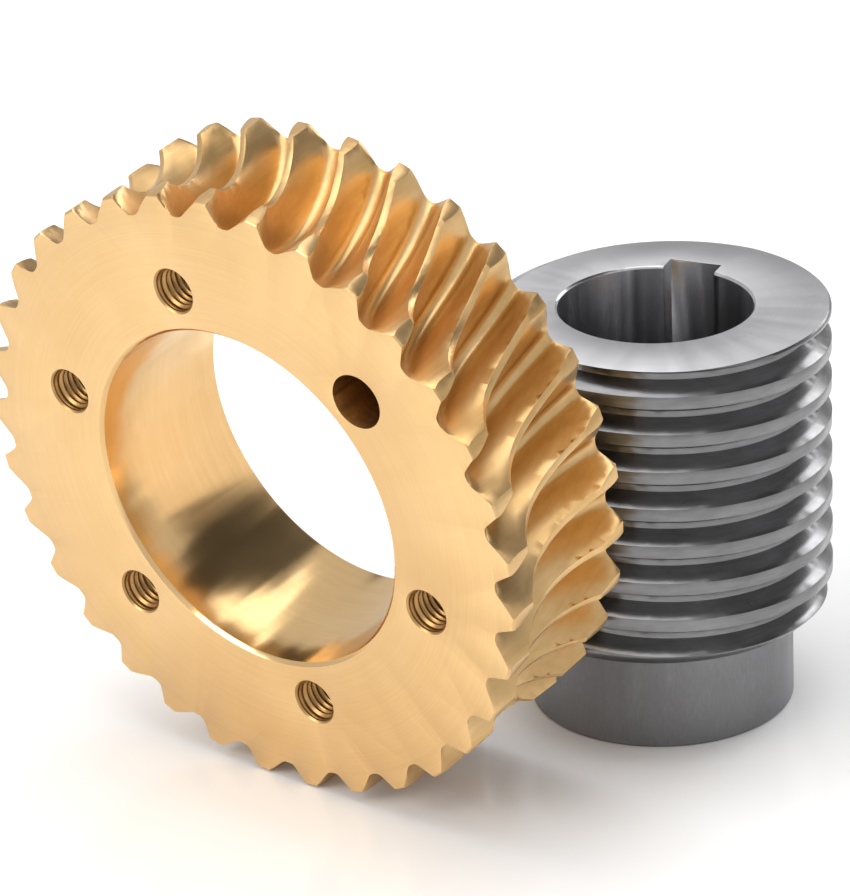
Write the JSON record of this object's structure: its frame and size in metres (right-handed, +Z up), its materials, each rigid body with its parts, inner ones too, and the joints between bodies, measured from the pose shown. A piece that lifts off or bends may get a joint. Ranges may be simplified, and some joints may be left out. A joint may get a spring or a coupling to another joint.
{
  "type": "worm gear set",
  "caption": "Throated bronze worm wheel ring with a bolt circle, beside a hollow keyed steel worm standing on its hub.",
  "frame": {"origin": "centre of the worm's base, on the surface that both pieces stand on", "axes": "+Z up along the worm's bore; the wheel's front face looks towards -X and -Y"},
  "size_m": [0.1844, 0.1298, 0.1478],
  "materials": {
    "bronze": "satin",
    "steel": "satin"
  },
  "bodies": {
    "wheel_body": {"worm_wheel": "bronze"},
    "worm_body": {"worm": "steel"}
  },
  "joints": [
    {"name": "worm_spin", "type": "hinge", "parent": "wheel_body", "child": "worm_body", "pos_m": [0, 0, 0], "axis": [0, 0, 1], "continuous": true}
  ]
}
